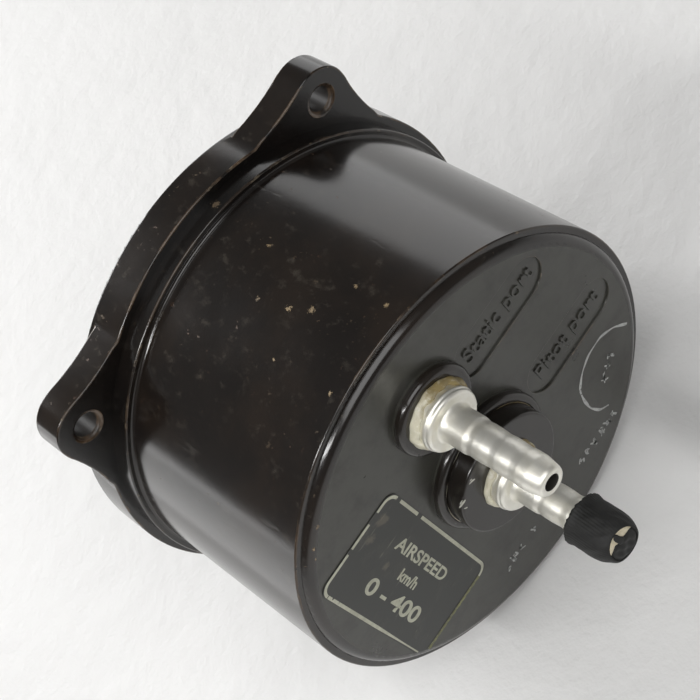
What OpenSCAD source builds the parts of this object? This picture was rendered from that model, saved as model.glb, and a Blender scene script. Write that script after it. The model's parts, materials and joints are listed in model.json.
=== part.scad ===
// Panel airspeed indicator: a moulded round case with four fixing ears, a pressure capsule
// that drives a geared pointer behind a glass, and two hose nozzles at the back.
// The axis runs along Y: the dial faces -Y, the nozzles point along +Y, and Z is up.
// The plane y = 0 is the back face of the ears, which seats against the panel.

/* [Case] */
// outer diameter of the round body
body_d = 80; // [72:0.5:90]
// distance from the ear seat to the ledge at the back edge of the body
body_depth = 43.4; // [42:0.2:52]
// thickness of the body wall
wall = 5; // [4.6:0.1:6]
// how far the front rim stands out beyond the body
rim_step = 3; // [2.4:0.1:4]
// height of the front rim in front of the seat plane
rim_height = 7.5; // [7.2:0.1:9]
// thickness of the fixing ears
ear_thickness = 6.1; // [4:0.1:6.8]
// distance of the fixing holes beyond the body's surface
ear_reach = 6.25; // [5.8:0.05:8]
// diameter of the fixing holes
hole_d = 4.5; // [3.4:0.1:5]

/* [Nozzles] */
// height of the static nozzle above the axis
static_offset = 22; // [21:0.25:24]
// length of a nozzle beyond its seat
nozzle_length = 22.7; // [20:0.1:26]
// diameter of the nozzle's hose barbs
barb_d = 6.1; // [5.6:0.1:6.6]
// diameter of the nozzle's bore
nozzle_bore_d = 2.6; // [2:0.1:3]

/* [Cap] */
// outer diameter of the dust cap
cap_d = 8.5; // [8.3:0.1:10]
// length of the dust cap
cap_length = 9.2; // [8:0.1:12]

/* [Movement] */
// number of teeth on the pointer pinion
pinion_teeth = 14; // [12:1:18]
// turns of the pinion for one turn of the sector
gear_ratio = 8; // [7:1:10]
// full sweep of the pointer in degrees
pointer_sweep = 300; // [240:5:320]
// swing of the rocking shaft in degrees for the full sweep
rock_swing = 15; // [12:0.5:18]

/* [Hidden] */
$fn = 64;
u = body_d / 80;
body_r = body_d / 2;
rim_r = body_r + rim_step;
eps = 0.01;
big = 4 * body_r;

// running clearance of a shaft in its bush, gap at a pushed contact, and gap of the cap on its nozzle
run_gap = 0.05;
push_gap = 0.15;
cap_gap = 0.3;
end_gap = 0.2;

// case: spigot ring behind the ears, raised back disc, bosses and sunk name fields
spigot_r = body_r + 1.4 * u;
spigot_h = 3.6;
rim_edge = 0.7;
back_rise = 1.3;
lip_edge = 1.9;
ledge = 1.1 * u;
disc_r = body_r - ledge;
back_y = body_depth + back_rise;
boss_h = 2;
boss_y = back_y + boss_h;
boss_edge = 1;
centre_boss_r = 12.4 * u;
static_z = static_offset * u;
static_boss_r = 7.9 * u;
back_wall = 2.4;
inner_back_y = body_depth - back_wall;
field_h = 8.6 * u;
field_w = 22 * u;
field_depth = 0.4;
static_field_x = -17.4 * u;
static_field_z = 20.3 * u;
pitot_field_x = -24.2 * u;
pitot_field_z = 0.1 * u;

// ears: hole position, rounded tip and the shallow hollow of each side
hole_r = hole_d / 2;
hole_xy = (body_r + ear_reach) / sqrt(2);
ear_tip_r = 5.9;
ear_chamfer = 0.5;
hollow_r = 35 * u;
hollow_at = hole_xy - 6.7 * u;
hollow_out = hole_xy + ear_tip_r - 0.45 * u + hollow_r;

// front of the case: bores that take the glass, the dial and the movement
front_y = -rim_height;
glass_bore_r = rim_r - 3 * u;
glass_seat_y = front_y + 5;
cavity_r = body_r - wall;
plate_bore_r = cavity_r + 2.8 * u;
shoulder_y = 3.5;

// glass, its gasket and the screwed ring that holds it
gasket_t = 0.6;
glass_t = 2.4;
ring_t = 1.8;
seat_gap = 0.1;
glass_r = glass_bore_r - seat_gap;
gasket_in = plate_bore_r + seat_gap;
glass_y = glass_seat_y - gasket_t - glass_t;
ring_y = glass_y - ring_t;
ring_in = glass_bore_r - 3.5 * u;
ring_slot_w = 2.2;
ring_slot_d = 1.1;

// movement frame: two plates, pillars and screws
plate_t = 1.5;
plate_y = shoulder_y - plate_t;
plate_r = plate_bore_r - seat_gap;
frame_gap = 8.5;
rear_y = shoulder_y + frame_gap;
rear_t = 1.2;
rear_back_y = rear_y + rear_t;
pillar_r = 1.8;
pillar_spigot_r = 1.1;
pillar_at = [[20 * u, 14 * u], [10 * u, -24 * u], [-12 * u, 24 * u]];
rear_outline = [[-26.6, -13], [-26.6, -5], [-16, 27], [-8, 27.5], [23, 17], [23.5, 11], [13, -27], [7, -27]];
screw_r = 0.8;
screw_head_r = 1.6;
screw_head_h = 1;
screw_in = 4.5;
slot_w = 0.45;
slot_d = 0.4;
case_screw_at = cavity_r + 1.4 * u;
case_screw_r = 0.9;
case_screw_head_r = 1.3;
case_screw_head_h = 0.9;
case_screw_in = 5.5;
case_screw_angles = [90, 210, 330];

// dial and pointer
dial_t = 0.8;
dial_gap = 1;
dial_back_y = plate_y - dial_gap;
dial_y = dial_back_y - dial_t;
dial_r = plate_bore_r - 1.3 * u;
dial_hole_r = 3;
dial_screw_x = 20 * u;
dial_screw_r = 0.7;
dial_screw_head_r = 1.5;
dial_screw_head_h = 0.6;
dial_screw_in = 2.5;
spacer_r = 1.9;
pointer_boss_y = dial_y - 0.4;
pointer_flange_t = 0.5;
pointer_flange_r = 2.4;
pointer_hub_r = 1.5;
pointer_hub_l = 1.2;
pointer_t = 0.5;
pointer_y = pointer_boss_y - pointer_flange_t - pointer_t;
pointer_tip = 27 * u;
pointer_shoulder = 21 * u;
pointer_tail = 9 * u;
pointer_w = 1.1;
pointer_tip_w = 0.35;
pointer_disc_r = 3.2;
pointer_zero = 90 + pointer_sweep / 2;

// pointer shaft and its pivots
shaft_r = 1;
pivot_r = 0.6;
front_bush_r = 1.7;
bush_r = 1.3;
shaft_front_y = pointer_boss_y - pointer_flange_t - pointer_hub_l;
pivot_end = 0.1;

// gears: tooth proportions and the place of the sector's pivot
centre_dist = 25.2 * u;
sector_teeth = pinion_teeth * gear_ratio;
gear_module = 2 * centre_dist / (pinion_teeth + sector_teeth);
pressure = 20;
addendum = 0.8;
dedendum = 1.15;
tooth_back = 0.045;
flank_steps = 5;
pinion_pitch = gear_module * pinion_teeth / 2;
sector_pitch = gear_module * sector_teeth / 2;
pinion_y = 5.6;
pinion_t = 2.2;
sector_y = 6.2;
sector_t = 1;
sector_dir = 21;
sector_x = -centre_dist * cos(sector_dir);
sector_z = -centre_dist * sin(sector_dir);
sector_swing = pointer_sweep / gear_ratio;
sector_pitch_deg = 360 / sector_teeth;
lead_teeth = 2;
lag_teeth = ceil(sector_swing / sector_pitch_deg) + 1;
rim_w = 2.6 * u;
spoke_w = 2.2;
sector_hub_r = 2.4;
sector_shaft_r = 0.9;
tail_l = 5 * u;
tail_w = 2.2;
tail_pin_r = 0.5;
tail_dir = 180 - sector_swing / 2;

// rocking shaft: axis along X behind the rear plate, centred on the middle of its swing
half_rock = rock_swing / 2;
rocker_y = 21;
finger_tip_r = 0.6;
rocker_z = sector_z + tail_pin_r + finger_tip_r + push_gap;
rocker_r = 0.9;
rocker_left = -30 * u;
rocker_right = 6.6 * u;
finger_l = tail_l * sin(sector_swing / 2) / sin(half_rock);
finger_x = sector_x - tail_l * (1 + cos(sector_swing / 2)) / 2;
pin_over = 1.1;
tail_pin_l = rocker_y - finger_l * cos(half_rock) + pin_over - sector_y - sector_t;
finger_w = 1.6;
finger_t = 1.3;
finger_tip_l = 2;
hub_r = 2;
hub_l = 2;
lever_l = -rocker_z;
lever_pad_r = 0.8;
lever_pad_l = 3;
lever_w = 1.6;
lever_t = 1.4;
bracket_x = [-19 * u, 4.2 * u];
bracket_t = 1.2;
bracket_w = 4.4;
bracket_top = rocker_y + 2.2;
bracket_foot = 6;
bracket_hole_at = 4;
bracket_screw_r = 0.7;
bracket_screw_head_r = 1.3;
bracket_screw_in = 1.1;

// hairspring on the pointer shaft
coil_y = 9.3;
coil_h = 0.9;
coil_t = 0.2;
coil_turns = 4;
coil_steps = 28;
collet_r = 2.2;
collet_y = coil_y - 0.2;
collet_h = 1.3;
coil_in = collet_r + coil_t / 2;
coil_out = 7.4 * u;
stud_w = 1.3;

// capsule: two dished diaphragms soldered at the rim, a stem to the plug and a moving stud
skin = 0.3;
capsule_r = 25 * u;
capsule_flat_r = 7 * u;
capsule_rim = 2 * u;
capsule_y = 30;
capsule_rise = 2.6;
waves = 3;
wave_h = 0.7;
stud_base_r = 4;
stud_base_t = 0.6;
stud_r = 1.2;
stud_tip_r = 1.7;
stud_tip_t = 0.6;
front_face_y = capsule_y - capsule_rise - skin;
rear_face_y = capsule_y + capsule_rise + skin;
pad_rest_y = rocker_y + lever_l * sin(half_rock);
stud_tip_y = pad_rest_y + lever_pad_r + push_gap;
bore_r = nozzle_bore_d / 2;
stem_r = 2.5;
stem_flange_r = 4;
stem_flange_t = 0.8;

// plug in the centre boss, with its gasket
plug_r = 10.85 * u;
plug_bore_r = plug_r + run_gap;
plug_neck_r = 8 * u;
plug_seat_y = inner_back_y + 2.6;
plug_gasket_t = 0.3;
plug_in_y = inner_back_y - 2.5;
plug_top_y = boss_y + 3.4;
plug_edge = 0.4;
stem_end_y = inner_back_y + 1;

// nozzles: threaded shank, washer, collar and barbed barrel
shank_r = 2.9;
shank_l = 4.6;
washer_r = 5.95;
washer_t = 0.5;
collar_r = 5.5;
collar_h = 2.8;
collar_edge = 0.5;
neck_r = 3.2;
barb_r = barb_d / 2;
barb_depth = 0.25;
barb_root_r = barb_r - barb_depth;
tip_r = 2.3;
tip_edge = 0.25;
nozzle_scale = nozzle_length / 22.7;
tip_round = 0.4 * nozzle_scale;
neck_flare = 0.2;
neck_start = 4 * nozzle_scale;
neck_end = 7.8 * nozzle_scale;
barb_root_at = nozzle_scale * [8.5, 12.8, 16.7];
land_start = nozzle_scale * [9.4, 13.8, 17.9];
land_end = nozzle_scale * [11, 15, 19.9];
lead_l = 0.3 * nozzle_scale;
lead_rise = 0.15;

// dust cap over the barbs of the pitot nozzle, closed by a pale stopper under a flap and a narrow strip
cap_r = cap_d / 2;
cap_bore_r = barb_r + cap_gap;
pitot_tip_y = plug_top_y + nozzle_length;
cap_end = 1.25;
cap_end_y = pitot_tip_y + cap_end;
cap_mouth_y = cap_end_y - cap_length;
cap_round = 1.1;
stopper_r = 2.9;
stopper_t = 0.75;
strip_w = 1.1;
flap_z = 1.3;

// rear label: a thin printed film, cut at the edge of the back disc
label_x = 23.15 * u;
label_z = -1.5 * u;
label_w = 19.3 * u;
label_h = 38.4 * u;
label_corner = 2.2 * u;
label_t = 0.15;
flat_r = disc_r - lip_edge;

// turns a profile drawn as radius and y into a solid around the Y axis
module lathe() {
    rotate([-90, 0, 0])
        rotate_extrude()
            children();
}

// raises an outline drawn as x and z between two planes across Y
module slab(y0, y1) {
    translate([0, y1, 0])
        rotate([90, 0, 0])
            linear_extrude(height = y1 - y0)
                children();
}

// round rod along Y
module rod(r, y0, y1, x = 0, z = 0) {
    translate([x, y0, z])
        rotate([-90, 0, 0])
            cylinder(r = r, h = y1 - y0);
}

// round rod along X
module cross_rod(r, x0, x1) {
    translate([x0, 0, 0])
        rotate([0, 90, 0])
            cylinder(r = r, h = x1 - x0);
}

// half outline of a disc whose far edge is rounded
module disc_profile(r, y0, y1, edge) {
    translate([0, y0])
        square([r, y1 - y0 - edge]);
    translate([0, y0])
        square([r - edge, y1 - y0]);
    translate([r - edge, y1 - edge])
        circle(r = edge);
}

// half outline between two radii
module band(r0, r1, y0, y1) {
    translate([r0, y0])
        square([r1 - r0, y1 - y0]);
}

module pill(w, h) {
    square([w - h, h], center = true);
    translate([(w - h) / 2, 0])
        circle(r = h / 2);
    translate([-(w - h) / 2, 0])
        circle(r = h / 2);
}

module round_box(w, h, r) {
    square([w - 2 * r, h], center = true);
    square([w, h - 2 * r], center = true);
    for (sx = [-1, 1])
        for (sy = [-1, 1])
            translate([sx * (w / 2 - r), sy * (h / 2 - r)])
                circle(r = r);
}

// slotted cheese-head screw along Y, its head on the side of smaller y when dir is 1
module screw(r, head_r, head_h, length, dir = 1) {
    difference() {
        union() {
            rod(r, dir > 0 ? 0 : -length, dir > 0 ? length : 0);
            rod(head_r, dir > 0 ? -head_h : 0, dir > 0 ? 0 : head_h);
        }
        translate([-head_r, dir > 0 ? -head_h - eps : head_h - slot_d, -slot_w / 2])
            cube([2 * head_r, slot_d + eps, slot_w]);
    }
}

// involute function in degrees, and half the angle of a tooth at a given radius
function inv_deg(a) = tan(a) * 180 / PI - a;
function tooth_half(r, pitch, teeth) =
    90 / teeth - tooth_back / pitch * 180 / PI + inv_deg(pressure)
    - inv_deg(acos(min(1, pitch * cos(pressure) / r)));
function tooth_side(pitch, teeth, root, tip, side) =
    [for (i = [0 : flank_steps])
        let (r = root + (tip - root) * i / flank_steps, a = side * tooth_half(r, pitch, teeth))
            [r * cos(a), r * sin(a)]];
function flip(v) = [for (i = [len(v) - 1 : -1 : 0]) v[i]];

module tooth(pitch, teeth) {
    root = pitch - dedendum * gear_module - 0.1;
    tip = pitch + addendum * gear_module;
    polygon(concat(tooth_side(pitch, teeth, root, tip, -1), flip(tooth_side(pitch, teeth, root, tip, 1))));
}

module ear_outline() {
    difference() {
        union() {
            square([hole_xy + ear_tip_r, hole_xy]);
            square([hole_xy, hole_xy + ear_tip_r]);
            translate([hole_xy, hole_xy])
                circle(r = ear_tip_r);
        }
        translate([hollow_at, hollow_out])
            circle(r = hollow_r);
        translate([hollow_out, hollow_at])
            circle(r = hollow_r);
    }
}

// sunk field for a name in the back face
module name_field(x, z) {
    slab(back_y - field_depth, back_y + eps)
        translate([x, z])
            pill(field_w, field_h);
}

// moulded case: rim with ears, spigot ring, body, back disc, two bosses and two sunk name fields
module case() {
    color([0.07, 0.06, 0.055])
        difference() {
            union() {
                difference() {
                    union() {
                        lathe() {
                            mirror([0, 1, 0])
                                disc_profile(rim_r, 0, rim_height, rim_edge);
                            band(0, spigot_r, 0, spigot_h);
                            band(0, body_r, spigot_h, body_depth);
                            disc_profile(disc_r, spigot_h, back_y, lip_edge);
                        }
                        slab(-ear_thickness, 0)
                            for (a = [0 : 90 : 270])
                                rotate(a)
                                    ear_outline();
                    }
                    name_field(static_field_x, static_field_z);
                    name_field(pitot_field_x, pitot_field_z);
                }
                lathe()
                    disc_profile(centre_boss_r, back_y - back_rise, boss_y, boss_edge);
                translate([0, 0, static_z])
                    lathe()
                        disc_profile(static_boss_r, back_y - back_rise, boss_y, boss_edge);
            }
            lathe() {
                band(0, glass_bore_r, front_y - eps, glass_seat_y);
                band(0, plate_bore_r, glass_seat_y - eps, shoulder_y);
                band(0, cavity_r, shoulder_y - eps, inner_back_y);
                band(0, plug_neck_r, inner_back_y - eps, plug_seat_y + eps);
                band(0, plug_bore_r, plug_seat_y, boss_y + eps);
            }
            for (sx = [-1, 1])
                for (sz = [-1, 1])
                    translate([sx * hole_xy, 0, sz * hole_xy]) {
                        rod(hole_r, -ear_thickness - eps, eps);
                        translate([0, -ear_chamfer, 0])
                            rotate([-90, 0, 0])
                                cylinder(r1 = hole_r, r2 = hole_r + ear_chamfer, h = ear_chamfer + eps);
                    }
            rod(shank_r, inner_back_y - eps, boss_y + eps, 0, static_z);
            for (a = case_screw_angles)
                rod(case_screw_r, shoulder_y - eps, shoulder_y + case_screw_in, case_screw_at * cos(a),
                    case_screw_at * sin(a));
        }
}

// screwed ring that holds the glass, with two spanner slots
module retaining_ring() {
    color([0.09, 0.09, 0.09])
        difference() {
            lathe()
                band(ring_in, glass_bore_r, ring_y, glass_y);
            for (s = [-1, 1])
                translate([s * glass_bore_r, ring_y, 0])
                    cube([4 * rim_step, 2 * ring_slot_d, ring_slot_w], center = true);
        }
}

module glass() {
    color([0.85, 0.9, 0.9, 0.3])
        lathe()
            band(0, glass_r, glass_y, glass_y + glass_t);
}

module glass_gasket() {
    color([0.05, 0.05, 0.05])
        lathe()
            band(gasket_in, glass_r, glass_seat_y - gasket_t, glass_seat_y);
}

module dial() {
    color([0.03, 0.03, 0.03])
        difference() {
            lathe()
                band(dial_hole_r, dial_r, dial_y, dial_back_y);
            for (s = [-1, 1])
                rod(dial_screw_r, dial_y - eps, dial_back_y + eps, s * dial_screw_x);
        }
}

module dial_spacers() {
    color([0.75, 0.6, 0.3])
        for (s = [-1, 1])
            translate([s * dial_screw_x, 0, 0])
                lathe()
                    band(dial_screw_r, spacer_r, dial_back_y, plate_y);
}

module dial_screws() {
    color([0.05, 0.05, 0.05])
        for (s = [-1, 1])
            translate([s * dial_screw_x, dial_y, 0])
                screw(dial_screw_r, dial_screw_head_r, dial_screw_head_h, dial_t + dial_gap + dial_screw_in);
}

// pointer plate, drawn pointing along +X and turned to the zero mark
module pointer() {
    color([0.9, 0.9, 0.85])
        slab(pointer_y, pointer_y + pointer_t)
            rotate(pointer_zero)
                difference() {
                    union() {
                        polygon([[-pointer_tail, -pointer_w], [pointer_shoulder, -pointer_w],
                            [pointer_tip, -pointer_tip_w], [pointer_tip, pointer_tip_w],
                            [pointer_shoulder, pointer_w], [-pointer_tail, pointer_w]]);
                        circle(r = pointer_disc_r);
                    }
                    circle(r = pointer_hub_r);
                }
}

module pointer_boss() {
    color([0.75, 0.6, 0.3])
        lathe() {
            band(shaft_r, pointer_flange_r, pointer_boss_y - pointer_flange_t, pointer_boss_y);
            band(shaft_r, pointer_hub_r, shaft_front_y, pointer_boss_y - pointer_flange_t + eps);
        }
}

module pointer_shaft() {
    color([0.6, 0.6, 0.62]) {
        lathe() {
            band(0, shaft_r, shaft_front_y, rear_y - end_gap);
            band(0, pivot_r, rear_y - end_gap - eps, rear_back_y - pivot_end);
        }
    }
}

module pinion() {
    color([0.6, 0.6, 0.62])
        slab(pinion_y, pinion_y + pinion_t)
            difference() {
                union() {
                    circle(r = pinion_pitch - dedendum * gear_module);
                    for (i = [0 : pinion_teeth - 1])
                        rotate(180 + sector_dir + (i + 0.5) * 360 / pinion_teeth)
                            tooth(pinion_pitch, pinion_teeth);
                }
                circle(r = shaft_r);
            }
}

function coil_point(i, off) =
    let (n = coil_turns * coil_steps, r = coil_in + (coil_out - coil_in) * i / n + off, a = 360 * i / coil_steps)
        [r * cos(a), r * sin(a)];

module hairspring() {
    color([0.35, 0.4, 0.55])
        slab(coil_y, coil_y + coil_h)
            polygon(concat([for (i = [0 : coil_turns * coil_steps]) coil_point(i, -coil_t / 2)],
                [for (i = [coil_turns * coil_steps : -1 : 0]) coil_point(i, coil_t / 2)]));
}

module hairspring_collet() {
    color([0.75, 0.6, 0.3])
        lathe()
            band(shaft_r, collet_r, collet_y, collet_y + collet_h);
}

module hairspring_stud() {
    color([0.75, 0.6, 0.3])
        translate([coil_out + coil_t / 2, collet_y, -stud_w / 2])
            cube([stud_w, rear_y - collet_y, stud_w]);
}

module front_plate() {
    color([0.78, 0.65, 0.35])
        difference() {
            lathe()
                band(front_bush_r, plate_r, plate_y, shoulder_y);
            rod(bush_r, plate_y - eps, shoulder_y + eps, sector_x, sector_z);
            for (p = pillar_at)
                rod(pillar_spigot_r, plate_y - eps, shoulder_y + eps, p[0], p[1]);
            for (s = [-1, 1])
                rod(dial_screw_r, plate_y - eps, shoulder_y + eps, s * dial_screw_x);
            for (a = case_screw_angles)
                rod(case_screw_r, plate_y - eps, shoulder_y + eps, case_screw_at * cos(a), case_screw_at * sin(a));
        }
}

module rear_plate() {
    color([0.78, 0.65, 0.35])
        difference() {
            slab(rear_y, rear_back_y)
                scale(u)
                    polygon(rear_outline);
            rod(bush_r, rear_y - eps, rear_back_y + eps);
            rod(bush_r, rear_y - eps, rear_back_y + eps, sector_x, sector_z);
            for (p = pillar_at)
                rod(screw_r, rear_y - eps, rear_back_y + eps, p[0], p[1]);
            for (x = bracket_x)
                rod(bracket_screw_r, rear_y - eps, rear_back_y + eps, x + bracket_hole_at, rocker_z);
        }
}

module pillars() {
    color([0.78, 0.65, 0.35])
        for (p = pillar_at)
            difference() {
                union() {
                    rod(pillar_r, shoulder_y, rear_y, p[0], p[1]);
                    rod(pillar_spigot_r, plate_y, shoulder_y + eps, p[0], p[1]);
                }
                rod(screw_r, rear_y - screw_in, rear_y + eps, p[0], p[1]);
            }
}

module plate_screws() {
    color([0.45, 0.45, 0.47])
        for (p = pillar_at)
            translate([p[0], rear_back_y, p[1]])
                screw(screw_r, screw_head_r, screw_head_h, screw_in + rear_t, -1);
}

module case_screws() {
    color([0.45, 0.45, 0.47])
        for (a = case_screw_angles)
            translate([case_screw_at * cos(a), plate_y, case_screw_at * sin(a)])
                screw(case_screw_r, case_screw_head_r, case_screw_head_h, plate_t + case_screw_in);
}

// bearing bushes pressed into both plates, for the pointer shaft and the sector shaft
module pivot_bushes() {
    color([0.8, 0.7, 0.45]) {
        lathe()
            band(shaft_r + run_gap, front_bush_r, plate_y, shoulder_y);
        lathe()
            band(pivot_r + run_gap, bush_r, rear_y, rear_back_y);
        translate([sector_x, 0, sector_z]) {
            lathe()
                band(pivot_r + run_gap, bush_r, plate_y, shoulder_y);
            lathe()
                band(pivot_r + run_gap, bush_r, rear_y, rear_back_y);
        }
    }
}

// toothed sector, drawn about its own pivot with the line of centres along sector_dir
module sector_outline() {
    from = sector_dir - (lag_teeth + 0.8) * sector_pitch_deg;
    to = sector_dir + (lead_teeth + 0.8) * sector_pitch_deg;
    root = sector_pitch - dedendum * gear_module;
    far = 1.4 * sector_pitch;
    mid = (from + to) / 2;
    difference() {
        union() {
            intersection() {
                difference() {
                    circle(r = root);
                    circle(r = root - rim_w);
                }
                polygon([[0, 0], [far * cos(from), far * sin(from)], [far * cos(mid), far * sin(mid)],
                    [far * cos(to), far * sin(to)]]);
            }
            for (a = [from + sector_pitch_deg, to - sector_pitch_deg])
                rotate(a)
                    translate([0, -spoke_w / 2])
                        square([root - rim_w / 2, spoke_w]);
            for (i = [-lag_teeth : lead_teeth])
                rotate(sector_dir + i * sector_pitch_deg)
                    tooth(sector_pitch, sector_teeth);
            circle(r = sector_hub_r);
            rotate(tail_dir) {
                translate([0, -tail_w / 2])
                    square([tail_l, tail_w]);
                translate([tail_l, 0])
                    circle(r = tail_w / 2);
            }
        }
        circle(r = sector_shaft_r);
        rotate(tail_dir)
            translate([tail_l, 0])
                circle(r = tail_pin_r);
    }
}

module sector_gear() {
    color([0.8, 0.68, 0.38])
        translate([sector_x, 0, sector_z])
            slab(sector_y, sector_y + sector_t)
                sector_outline();
}

module sector_shaft() {
    color([0.6, 0.6, 0.62])
        translate([sector_x, 0, sector_z])
            lathe() {
                band(0, pivot_r, plate_y + pivot_end, shoulder_y + end_gap + eps);
                band(0, sector_shaft_r, shoulder_y + end_gap, rear_y - end_gap);
                band(0, pivot_r, rear_y - end_gap - eps, rear_back_y - pivot_end);
            }
}

module sector_pin() {
    color([0.6, 0.6, 0.62])
        rod(tail_pin_r, sector_y, sector_y + sector_t + tail_pin_l, sector_x + tail_l * cos(tail_dir),
            sector_z + tail_l * sin(tail_dir));
}

// angle brackets on the rear plate that carry the rocking shaft
module rocker_brackets() {
    color([0.78, 0.65, 0.35])
        for (x = bracket_x)
            difference() {
                union() {
                    translate([x - bracket_t / 2, rear_back_y, rocker_z - bracket_w / 2])
                        cube([bracket_t, bracket_top - rear_back_y, bracket_w]);
                    translate([x - bracket_t / 2, rear_back_y, rocker_z - bracket_w / 2])
                        cube([bracket_foot, bracket_t, bracket_w]);
                }
                translate([0, rocker_y, rocker_z])
                    cross_rod(rocker_r + run_gap, x - bracket_t, x + bracket_t);
                rod(bracket_screw_r, rear_back_y - eps, rear_back_y + bracket_t + eps, x + bracket_hole_at,
                    rocker_z);
            }
}

module bracket_screws() {
    color([0.45, 0.45, 0.47])
        for (x = bracket_x)
            translate([x + bracket_hole_at, rear_back_y + bracket_t, rocker_z])
                screw(bracket_screw_r, bracket_screw_head_r, screw_head_h, bracket_t + bracket_screw_in, -1);
}

// places a child at the rocking shaft, turned from the middle of its swing to its rest position
module at_rocker() {
    translate([0, rocker_y, rocker_z])
        rotate([-half_rock, 0, 0])
            children();
}

module rocker_shaft() {
    color([0.6, 0.6, 0.62])
        at_rocker()
            cross_rod(rocker_r, rocker_left, rocker_right);
}

// lever pushed by the capsule stud, with a round pad at its end
module capsule_lever() {
    color([0.78, 0.65, 0.35])
        at_rocker()
            difference() {
                union() {
                    cross_rod(hub_r, -hub_l / 2, hub_l / 2);
                    translate([-lever_w / 2, -lever_t / 2, 0])
                        cube([lever_w, lever_t, lever_l]);
                    translate([0, 0, lever_l])
                        cross_rod(lever_pad_r, -lever_pad_l / 2, lever_pad_l / 2);
                }
                cross_rod(rocker_r, -hub_l, hub_l);
            }
}

// finger that presses the sector's tail pin, with a round end
module drive_finger() {
    color([0.78, 0.65, 0.35])
        at_rocker()
            translate([finger_x, 0, 0])
                difference() {
                    union() {
                        cross_rod(hub_r, -hub_l / 2, hub_l / 2);
                        translate([-finger_w / 2, -finger_l, -finger_tip_r])
                            cube([finger_w, finger_l, finger_t]);
                        translate([0, -finger_l, 0])
                            cross_rod(finger_tip_r, -finger_tip_l / 2, finger_tip_l / 2);
                    }
                    cross_rod(rocker_r, -hub_l, hub_l);
                }
}

module capsule_stud() {
    color([0.75, 0.6, 0.3])
        lathe() {
            band(0, stud_tip_r, stud_tip_y, stud_tip_y + stud_tip_t);
            band(0, stud_r, stud_tip_y, front_face_y);
            band(0, stud_base_r, front_face_y - stud_base_t, front_face_y);
        }
}

// height of the dished and corrugated skin above the rim plane, at step i of its radius
function wave_r(i) = capsule_flat_r + (capsule_r - capsule_rim - capsule_flat_r) * i / (2 * waves);
function wave_y(i) = capsule_rise * (1 - i / (2 * waves)) + (i % 2 == 1 ? wave_h / 2 : 0);

// half outline of one diaphragm, its centre away from the rim; inner is the radius of its centre hole
module diaphragm_profile(inner) {
    up = [for (i = [0 : 2 * waves]) [wave_r(i), wave_y(i)]];
    polygon(concat([[inner, capsule_rise]], up, [[capsule_r, 0], [capsule_r, skin], [wave_r(2 * waves), skin]],
        [for (i = [2 * waves - 1 : -1 : 0]) [wave_r(i), wave_y(i) + skin]], [[inner, capsule_rise + skin]]));
}

module front_diaphragm() {
    color([0.72, 0.5, 0.3])
        translate([0, capsule_y, 0])
            mirror([0, 1, 0])
                lathe()
                    diaphragm_profile(0);
}

module rear_diaphragm() {
    color([0.72, 0.5, 0.3])
        translate([0, capsule_y, 0])
            lathe()
                diaphragm_profile(bore_r);
}

module capsule_stem() {
    color([0.75, 0.6, 0.3])
        lathe() {
            band(bore_r, stem_flange_r, rear_face_y, rear_face_y + stem_flange_t);
            band(bore_r, stem_r, rear_face_y, stem_end_y);
        }
}

// plug that closes the centre boss and joins the pitot nozzle to the capsule stem
module centre_plug() {
    color([0.06, 0.06, 0.06])
        difference() {
            lathe() {
                disc_profile(plug_r, plug_seat_y + plug_gasket_t, plug_top_y, plug_edge);
                band(0, plug_neck_r, plug_in_y, plug_seat_y + plug_gasket_t + eps);
            }
            lathe() {
                band(0, stem_r, plug_in_y - eps, stem_end_y);
                band(0, bore_r, stem_end_y - eps, plug_top_y);
                band(0, shank_r, plug_top_y - shank_l, plug_top_y + eps);
            }
        }
}

module plug_gasket() {
    color([0.55, 0.45, 0.2])
        lathe()
            band(plug_neck_r, plug_r, plug_seat_y, plug_seat_y + plug_gasket_t);
}

module washer() {
    lathe()
        band(shank_r, washer_r, 0, washer_t);
}

// outline of one barb: its root, the short lead to the land, and the land itself
function barb(i) = [[barb_root_r, barb_root_at[i]], [barb_r - lead_rise, land_start[i] - lead_l],
    [barb_r, land_start[i]], [barb_r, land_end[i]]];

// turned hose nozzle, drawn from its seat at y = 0: shank behind, washer space, collar, neck and three barbs
module nozzle() {
    difference() {
        lathe() {
            band(0, shank_r, -shank_l, washer_t + eps);
            disc_profile(collar_r, washer_t, washer_t + collar_h, collar_edge);
            polygon(concat([[0, washer_t + collar_h - eps], [neck_r + neck_flare, washer_t + collar_h - eps],
                [neck_r, neck_start], [neck_r, neck_end]], [for (i = [0 : 2]) each barb(i)],
                [[tip_r + tip_edge, nozzle_length - tip_round], [tip_r, nozzle_length], [0, nozzle_length]]));
        }
        rod(bore_r, -shank_l - eps, nozzle_length + eps);
    }
}

module static_washer() {
    color([0.72, 0.68, 0.45])
        translate([0, boss_y, static_z])
            washer();
}

module static_nozzle() {
    color([0.8, 0.8, 0.8])
        translate([0, boss_y, static_z])
            nozzle();
}

module pitot_washer() {
    color([0.72, 0.68, 0.45])
        translate([0, plug_top_y, 0])
            washer();
}

module pitot_nozzle() {
    color([0.8, 0.8, 0.8])
        translate([0, plug_top_y, 0])
            nozzle();
}

// dust cap: a sleeve over the barbs with a rounded end, open over the stopper's upper edge except for one strip
module dust_cap() {
    color([0.04, 0.04, 0.04]) {
        difference() {
            lathe()
                disc_profile(cap_r, cap_mouth_y, cap_end_y, cap_round);
            rod(cap_bore_r, cap_mouth_y - eps, pitot_tip_y);
            difference() {
                rod(stopper_r, pitot_tip_y - eps, cap_end_y + eps);
                translate([-strip_w / 2, pitot_tip_y + stopper_t, -stopper_r])
                    cube([strip_w, cap_end, 2 * stopper_r]);
                translate([-stopper_r, pitot_tip_y + stopper_t, -stopper_r])
                    cube([2 * stopper_r, cap_end, stopper_r + flap_z]);
            }
        }
    }
}

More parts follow.
